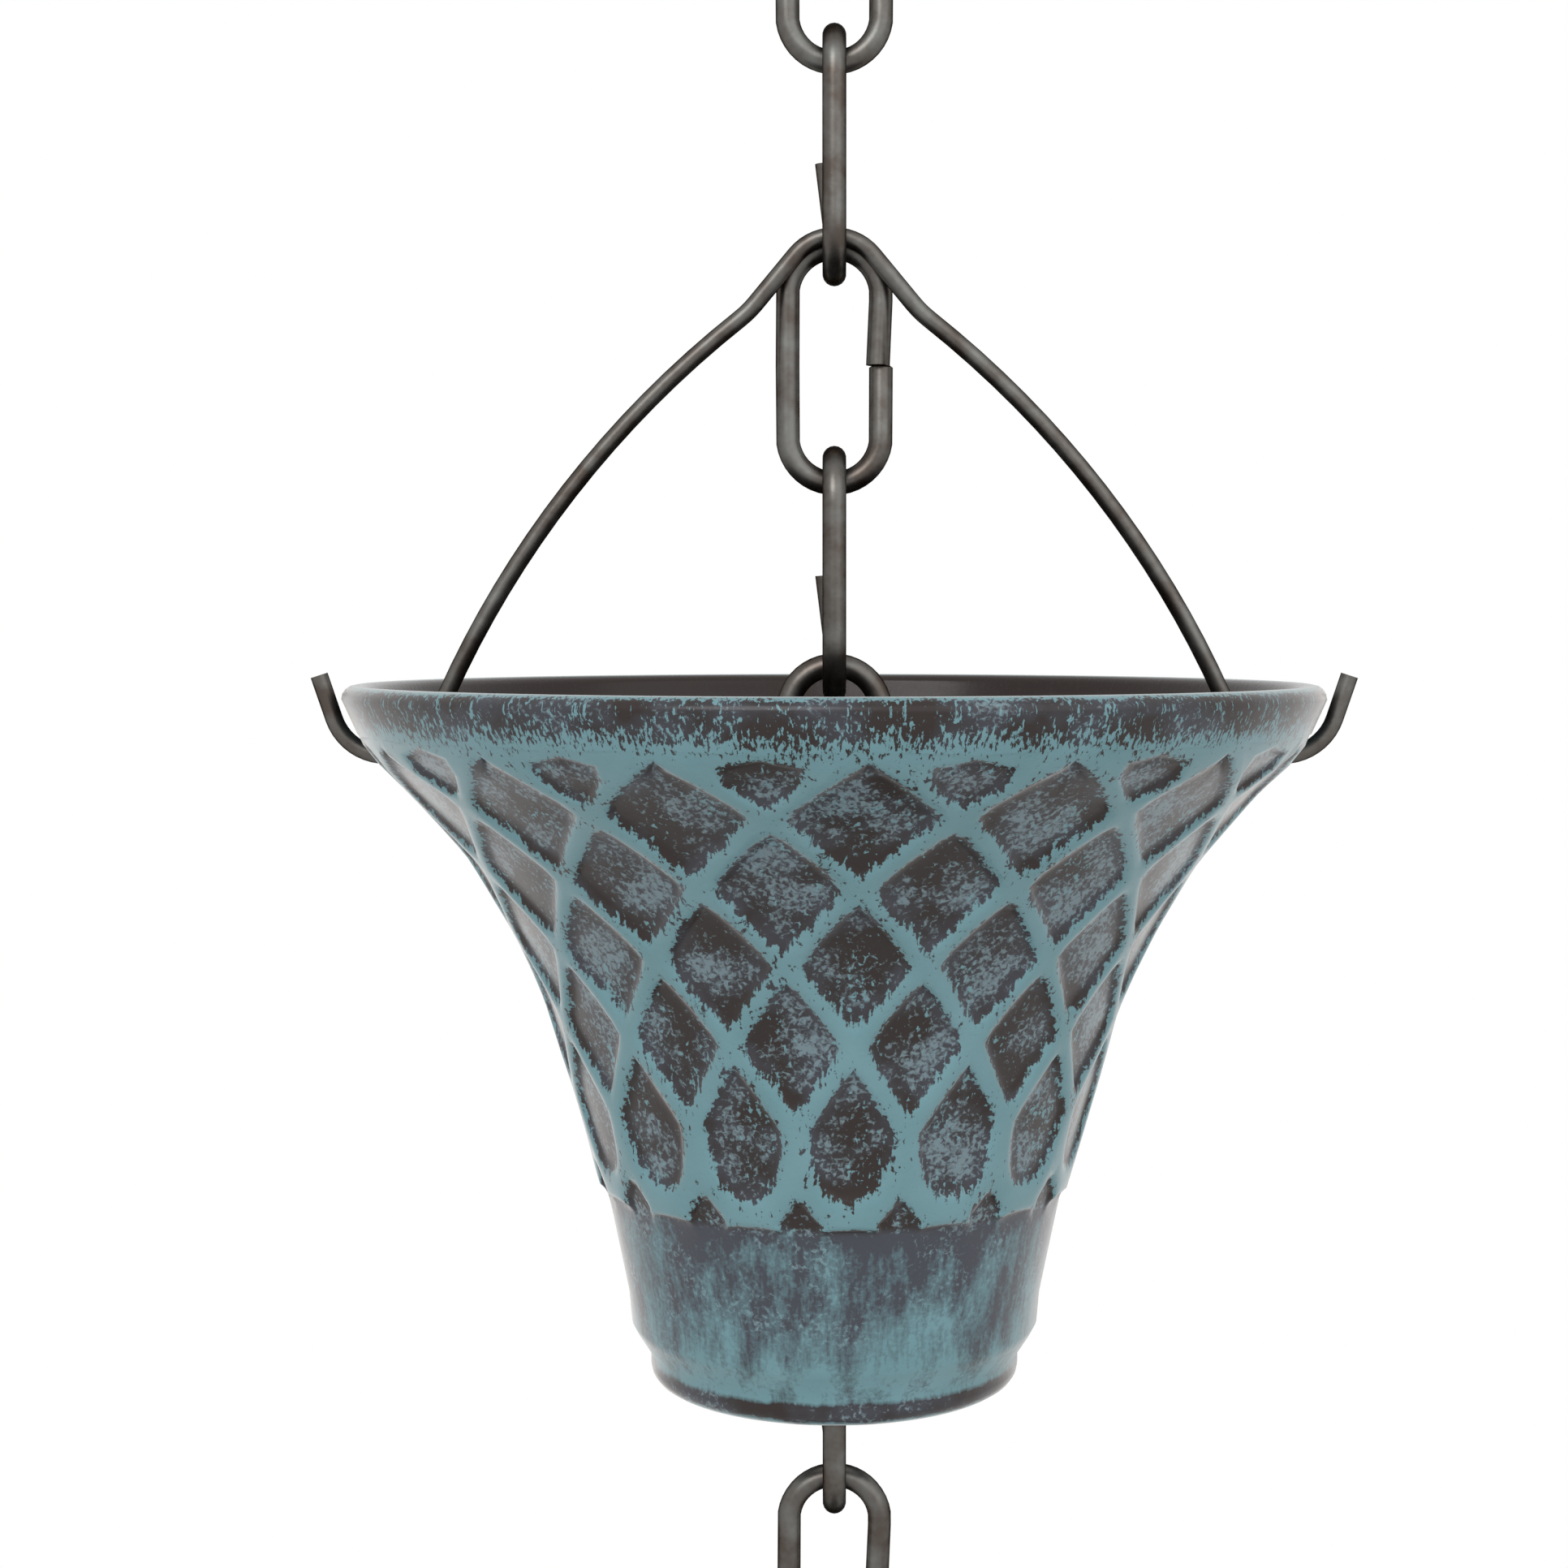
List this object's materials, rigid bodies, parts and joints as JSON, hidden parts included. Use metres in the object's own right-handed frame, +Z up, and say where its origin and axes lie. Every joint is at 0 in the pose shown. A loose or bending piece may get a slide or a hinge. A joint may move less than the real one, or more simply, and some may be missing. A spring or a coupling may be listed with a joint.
{
  "type": "rain chain",
  "caption": "Hanging rain chain: flared metal cups with a raised diamond lattice on wire bails, strung on oval links under an S-hook, with a faceted glass drop at the end.",
  "frame": {"origin": "the point on the inside of the hook's upper curl that bears on what it hangs from", "axes": "+Z up along the hanging chain, +X across the faces of the hook and bails, -Y to the front"},
  "size_m": [0.1014, 0.094, 2.624],
  "materials": {
    "dark_wire": "satin",
    "patina": "brushed verdigris over dark brown",
    "amber_glass": "polished, faceted"
  },
  "bodies": {
    "hook": {"hook": "dark_wire"},
    "top_chain": {"top_link_1": "dark_wire", "top_link_2": "dark_wire", "top_link_3": "dark_wire", "top_link_4": "dark_wire", "top_link_5": "dark_wire"},
    "bail_01": {"bail_01": "dark_wire"},
    "cup_01": {"cup_01": "patina"},
    "inner_chain_01": {"inner_chain_01": "dark_wire"},
    "outer_chain_01": {"outer_chain_01": "dark_wire"},
    "bail_02": {"bail_02": "dark_wire"},
    "cup_02": {"cup_02": "patina"},
    "inner_chain_02": {"inner_chain_02": "dark_wire"},
    "outer_chain_02": {"outer_chain_02": "dark_wire"},
    "bail_03": {"bail_03": "dark_wire"},
    "cup_03": {"cup_03": "patina"},
    "inner_chain_03": {"inner_chain_03": "dark_wire"},
    "outer_chain_03": {"outer_chain_03": "dark_wire"},
    "bail_04": {"bail_04": "dark_wire"},
    "cup_04": {"cup_04": "patina"},
    "inner_chain_04": {"inner_chain_04": "dark_wire"},
    "outer_chain_04": {"outer_chain_04": "dark_wire"},
    "bail_05": {"bail_05": "dark_wire"},
    "cup_05": {"cup_05": "patina"},
    "inner_chain_05": {"inner_chain_05": "dark_wire"},
    "outer_chain_05": {"outer_chain_05": "dark_wire"},
    "bail_06": {"bail_06": "dark_wire"},
    "cup_06": {"cup_06": "patina"},
    "inner_chain_06": {"inner_chain_06": "dark_wire"},
    "outer_chain_06": {"outer_chain_06": "dark_wire"},
    "bail_07": {"bail_07": "dark_wire"},
    "cup_07": {"cup_07": "patina"},
    "inner_chain_07": {"inner_chain_07": "dark_wire"},
    "outer_chain_07": {"outer_chain_07": "dark_wire"},
    "bail_08": {"bail_08": "dark_wire"},
    "cup_08": {"cup_08": "patina"},
    "inner_chain_08": {"inner_chain_08": "dark_wire"},
    "outer_chain_08": {"outer_chain_08": "dark_wire"},
    "bail_09": {"bail_09": "dark_wire"},
    "cup_09": {"cup_09": "patina"},
    "inner_chain_09": {"inner_chain_09": "dark_wire"},
    "outer_chain_09": {"outer_chain_09": "dark_wire"},
    "bail_10": {"bail_10": "dark_wire"},
    "cup_10": {"cup_10": "patina"},
    "inner_chain_10": {"inner_chain_10": "dark_wire"},
    "outer_chain_10": {"outer_chain_10": "dark_wire"},
    "bail_11": {"bail_11": "dark_wire"},
    "cup_11": {"cup_11": "patina"},
    "inner_chain_11": {"inner_chain_11": "dark_wire"},
    "outer_chain_11": {"outer_chain_11": "dark_wire"},
    "bail_12": {"bail_12": "dark_wire"},
    "cup_12": {"cup_12": "patina"},
    "inner_chain_12": {"inner_chain_12": "dark_wire"},
    "tail_link_1": {"tail_link_1": "dark_wire"},
    "tail_link_2": {"tail_link_2": "dark_wire"},
    "tail_link_3": {"tail_link_3": "dark_wire"},
    "tail_link_4": {"tail_link_4": "dark_wire"},
    "drop_ring": {"drop_ring": "dark_wire"},
    "glass_drop": {"glass_drop": "amber_glass"}
  },
  "joints": [
    {"name": "chain_top", "type": "hinge", "parent": "hook", "child": "top_chain", "pos_m": [0, 0, -0.05375], "axis": [-1, 0, 0], "range_deg": [-15, 15]},
    {"name": "cup01_bail_swing", "type": "hinge", "parent": "top_chain", "child": "bail_01", "pos_m": [0, 0, -0.15365], "axis": [0, -1, 0], "range_deg": [-15, 15]},
    {"name": "cup01_chain_swing", "type": "hinge", "parent": "top_chain", "child": "inner_chain_01", "pos_m": [0, 0, -0.15365], "axis": [0, -1, 0], "range_deg": [-15, 15]},
    {"name": "cup01_cup_tilt", "type": "hinge", "parent": "bail_01", "child": "cup_01", "pos_m": [0, 0, -0.19995], "axis": [1, 0, 0], "range_deg": [-4, 4]},
    {"name": "cup01_lower_sway", "type": "hinge", "parent": "inner_chain_01", "child": "outer_chain_01", "pos_m": [0, 0, -0.29365], "axis": [1, 0, 0], "range_deg": [-15, 15]},
    {"name": "cup02_bail_swing", "type": "hinge", "parent": "outer_chain_01", "child": "bail_02", "pos_m": [0, 0, -0.35365], "axis": [0, 1, 0], "range_deg": [-15, 15]},
    {"name": "cup02_chain_swing", "type": "hinge", "parent": "outer_chain_01", "child": "inner_chain_02", "pos_m": [0, 0, -0.35365], "axis": [0, 1, 0], "range_deg": [-15, 15]},
    {"name": "cup02_cup_tilt", "type": "hinge", "parent": "bail_02", "child": "cup_02", "pos_m": [0, 0, -0.39995], "axis": [1, 0, 0], "range_deg": [-4, 4]},
    {"name": "cup02_lower_sway", "type": "hinge", "parent": "inner_chain_02", "child": "outer_chain_02", "pos_m": [0, 0, -0.49365], "axis": [-1, 0, 0], "range_deg": [-15, 15]},
    {"name": "cup03_bail_swing", "type": "hinge", "parent": "outer_chain_02", "child": "bail_03", "pos_m": [0, 0, -0.55365], "axis": [0, -1, 0], "range_deg": [-15, 15]},
    {"name": "cup03_chain_swing", "type": "hinge", "parent": "outer_chain_02", "child": "inner_chain_03", "pos_m": [0, 0, -0.55365], "axis": [0, -1, 0], "range_deg": [-15, 15]},
    {"name": "cup03_cup_tilt", "type": "hinge", "parent": "bail_03", "child": "cup_03", "pos_m": [0, 0, -0.59995], "axis": [1, 0, 0], "range_deg": [-4, 4]},
    {"name": "cup03_lower_sway", "type": "hinge", "parent": "inner_chain_03", "child": "outer_chain_03", "pos_m": [0, 0, -0.69365], "axis": [1, 0, 0], "range_deg": [-15, 15]},
    {"name": "cup04_bail_swing", "type": "hinge", "parent": "outer_chain_03", "child": "bail_04", "pos_m": [0, 0, -0.75365], "axis": [0, 1, 0], "range_deg": [-15, 15]},
    {"name": "cup04_chain_swing", "type": "hinge", "parent": "outer_chain_03", "child": "inner_chain_04", "pos_m": [0, 0, -0.75365], "axis": [0, 1, 0], "range_deg": [-15, 15]},
    {"name": "cup04_cup_tilt", "type": "hinge", "parent": "bail_04", "child": "cup_04", "pos_m": [0, 0, -0.79995], "axis": [1, 0, 0], "range_deg": [-4, 4]},
    {"name": "cup04_lower_sway", "type": "hinge", "parent": "inner_chain_04", "child": "outer_chain_04", "pos_m": [0, 0, -0.89365], "axis": [-1, 0, 0], "range_deg": [-15, 15]},
    {"name": "cup05_bail_swing", "type": "hinge", "parent": "outer_chain_04", "child": "bail_05", "pos_m": [0, 0, -0.95365], "axis": [0, -1, 0], "range_deg": [-15, 15]},
    {"name": "cup05_chain_swing", "type": "hinge", "parent": "outer_chain_04", "child": "inner_chain_05", "pos_m": [0, 0, -0.95365], "axis": [0, -1, 0], "range_deg": [-15, 15]},
    {"name": "cup05_cup_tilt", "type": "hinge", "parent": "bail_05", "child": "cup_05", "pos_m": [0, 0, -0.99995], "axis": [1, 0, 0], "range_deg": [-4, 4]},
    {"name": "cup05_lower_sway", "type": "hinge", "parent": "inner_chain_05", "child": "outer_chain_05", "pos_m": [0, 0, -1.09365], "axis": [1, 0, 0], "range_deg": [-15, 15]},
    {"name": "cup06_bail_swing", "type": "hinge", "parent": "outer_chain_05", "child": "bail_06", "pos_m": [0, 0, -1.15365], "axis": [0, 1, 0], "range_deg": [-15, 15]},
    {"name": "cup06_chain_swing", "type": "hinge", "parent": "outer_chain_05", "child": "inner_chain_06", "pos_m": [0, 0, -1.15365], "axis": [0, 1, 0], "range_deg": [-15, 15]},
    {"name": "cup06_cup_tilt", "type": "hinge", "parent": "bail_06", "child": "cup_06", "pos_m": [0, 0, -1.19995], "axis": [1, 0, 0], "range_deg": [-4, 4]},
    {"name": "cup06_lower_sway", "type": "hinge", "parent": "inner_chain_06", "child": "outer_chain_06", "pos_m": [0, 0, -1.29365], "axis": [-1, 0, 0], "range_deg": [-15, 15]},
    {"name": "cup07_bail_swing", "type": "hinge", "parent": "outer_chain_06", "child": "bail_07", "pos_m": [0, 0, -1.35365], "axis": [0, -1, 0], "range_deg": [-15, 15]},
    {"name": "cup07_chain_swing", "type": "hinge", "parent": "outer_chain_06", "child": "inner_chain_07", "pos_m": [0, 0, -1.35365], "axis": [0, -1, 0], "range_deg": [-15, 15]},
    {"name": "cup07_cup_tilt", "type": "hinge", "parent": "bail_07", "child": "cup_07", "pos_m": [0, 0, -1.39995], "axis": [1, 0, 0], "range_deg": [-4, 4]},
    {"name": "cup07_lower_sway", "type": "hinge", "parent": "inner_chain_07", "child": "outer_chain_07", "pos_m": [0, 0, -1.49365], "axis": [1, 0, 0], "range_deg": [-15, 15]},
    {"name": "cup08_bail_swing", "type": "hinge", "parent": "outer_chain_07", "child": "bail_08", "pos_m": [0, 0, -1.55365], "axis": [0, 1, 0], "range_deg": [-15, 15]},
    {"name": "cup08_chain_swing", "type": "hinge", "parent": "outer_chain_07", "child": "inner_chain_08", "pos_m": [0, 0, -1.55365], "axis": [0, 1, 0], "range_deg": [-15, 15]},
    {"name": "cup08_cup_tilt", "type": "hinge", "parent": "bail_08", "child": "cup_08", "pos_m": [0, 0, -1.59995], "axis": [1, 0, 0], "range_deg": [-4, 4]},
    {"name": "cup08_lower_sway", "type": "hinge", "parent": "inner_chain_08", "child": "outer_chain_08", "pos_m": [0, 0, -1.69365], "axis": [-1, 0, 0], "range_deg": [-15, 15]},
    {"name": "cup09_bail_swing", "type": "hinge", "parent": "outer_chain_08", "child": "bail_09", "pos_m": [0, 0, -1.75365], "axis": [0, -1, 0], "range_deg": [-15, 15]},
    {"name": "cup09_chain_swing", "type": "hinge", "parent": "outer_chain_08", "child": "inner_chain_09", "pos_m": [0, 0, -1.75365], "axis": [0, -1, 0], "range_deg": [-15, 15]},
    {"name": "cup09_cup_tilt", "type": "hinge", "parent": "bail_09", "child": "cup_09", "pos_m": [0, 0, -1.79995], "axis": [1, 0, 0], "range_deg": [-4, 4]},
    {"name": "cup09_lower_sway", "type": "hinge", "parent": "inner_chain_09", "child": "outer_chain_09", "pos_m": [0, 0, -1.89365], "axis": [1, 0, 0], "range_deg": [-15, 15]},
    {"name": "cup10_bail_swing", "type": "hinge", "parent": "outer_chain_09", "child": "bail_10", "pos_m": [0, 0, -1.95365], "axis": [0, 1, 0], "range_deg": [-15, 15]},
    {"name": "cup10_chain_swing", "type": "hinge", "parent": "outer_chain_09", "child": "inner_chain_10", "pos_m": [0, 0, -1.95365], "axis": [0, 1, 0], "range_deg": [-15, 15]},
    {"name": "cup10_cup_tilt", "type": "hinge", "parent": "bail_10", "child": "cup_10", "pos_m": [0, 0, -1.99995], "axis": [1, 0, 0], "range_deg": [-4, 4]},
    {"name": "cup10_lower_sway", "type": "hinge", "parent": "inner_chain_10", "child": "outer_chain_10", "pos_m": [0, 0, -2.09365], "axis": [-1, 0, 0], "range_deg": [-15, 15]},
    {"name": "cup11_bail_swing", "type": "hinge", "parent": "outer_chain_10", "child": "bail_11", "pos_m": [0, 0, -2.15365], "axis": [0, -1, 0], "range_deg": [-15, 15]},
    {"name": "cup11_chain_swing", "type": "hinge", "parent": "outer_chain_10", "child": "inner_chain_11", "pos_m": [0, 0, -2.15365], "axis": [0, -1, 0], "range_deg": [-15, 15]},
    {"name": "cup11_cup_tilt", "type": "hinge", "parent": "bail_11", "child": "cup_11", "pos_m": [0, 0, -2.19995], "axis": [1, 0, 0], "range_deg": [-4, 4]},
    {"name": "cup11_lower_sway", "type": "hinge", "parent": "inner_chain_11", "child": "outer_chain_11", "pos_m": [0, 0, -2.29365], "axis": [1, 0, 0], "range_deg": [-15, 15]},
    {"name": "cup12_bail_swing", "type": "hinge", "parent": "outer_chain_11", "child": "bail_12", "pos_m": [0, 0, -2.35365], "axis": [0, 1, 0], "range_deg": [-15, 15]},
    {"name": "cup12_chain_swing", "type": "hinge", "parent": "outer_chain_11", "child": "inner_chain_12", "pos_m": [0, 0, -2.35365], "axis": [0, 1, 0], "range_deg": [-15, 15]},
    {"name": "cup12_cup_tilt", "type": "hinge", "parent": "bail_12", "child": "cup_12", "pos_m": [0, 0, -2.39995], "axis": [1, 0, 0], "range_deg": [-4, 4]},
    {"name": "tail_1", "type": "hinge", "parent": "inner_chain_12", "child": "tail_link_1", "pos_m": [0, 0, -2.49365], "axis": [-1, 0, 0], "range_deg": [-45, 45]},
    {"name": "tail_2", "type": "hinge", "parent": "tail_link_1", "child": "tail_link_2", "pos_m": [0, 0, -2.51365], "axis": [0, -1, 0], "range_deg": [-45, 45]},
    {"name": "tail_3", "type": "hinge", "parent": "tail_link_2", "child": "tail_link_3", "pos_m": [0, 0, -2.53365], "axis": [1, 0, 0], "range_deg": [-45, 45]},
    {"name": "tail_4", "type": "hinge", "parent": "tail_link_3", "child": "tail_link_4", "pos_m": [0, 0, -2.55365], "axis": [0, 1, 0], "range_deg": [-45, 45]},
    {"name": "tail_5_ring", "type": "hinge", "parent": "tail_link_4", "child": "drop_ring", "pos_m": [0, 0, -2.57365], "axis": [-1, 0, 0], "range_deg": [-40, 40]},
    {"name": "tail_6_drop", "type": "hinge", "parent": "drop_ring", "child": "glass_drop", "pos_m": [0, 0, -2.58385], "axis": [0, -1, 0], "range_deg": [-40, 40]}
  ],
  "couplings": [
    {"joint": "cup01_bail_swing", "follows": "cup01_chain_swing", "ratio": 1},
    {"joint": "cup02_bail_swing", "follows": "cup02_chain_swing", "ratio": 1},
    {"joint": "cup03_bail_swing", "follows": "cup03_chain_swing", "ratio": 1},
    {"joint": "cup04_bail_swing", "follows": "cup04_chain_swing", "ratio": 1},
    {"joint": "cup05_bail_swing", "follows": "cup05_chain_swing", "ratio": 1},
    {"joint": "cup06_bail_swing", "follows": "cup06_chain_swing", "ratio": 1},
    {"joint": "cup07_bail_swing", "follows": "cup07_chain_swing", "ratio": 1},
    {"joint": "cup08_bail_swing", "follows": "cup08_chain_swing", "ratio": 1},
    {"joint": "cup09_bail_swing", "follows": "cup09_chain_swing", "ratio": 1},
    {"joint": "cup10_bail_swing", "follows": "cup10_chain_swing", "ratio": 1},
    {"joint": "cup11_bail_swing", "follows": "cup11_chain_swing", "ratio": 1},
    {"joint": "cup12_bail_swing", "follows": "cup12_chain_swing", "ratio": 1}
  ]
}
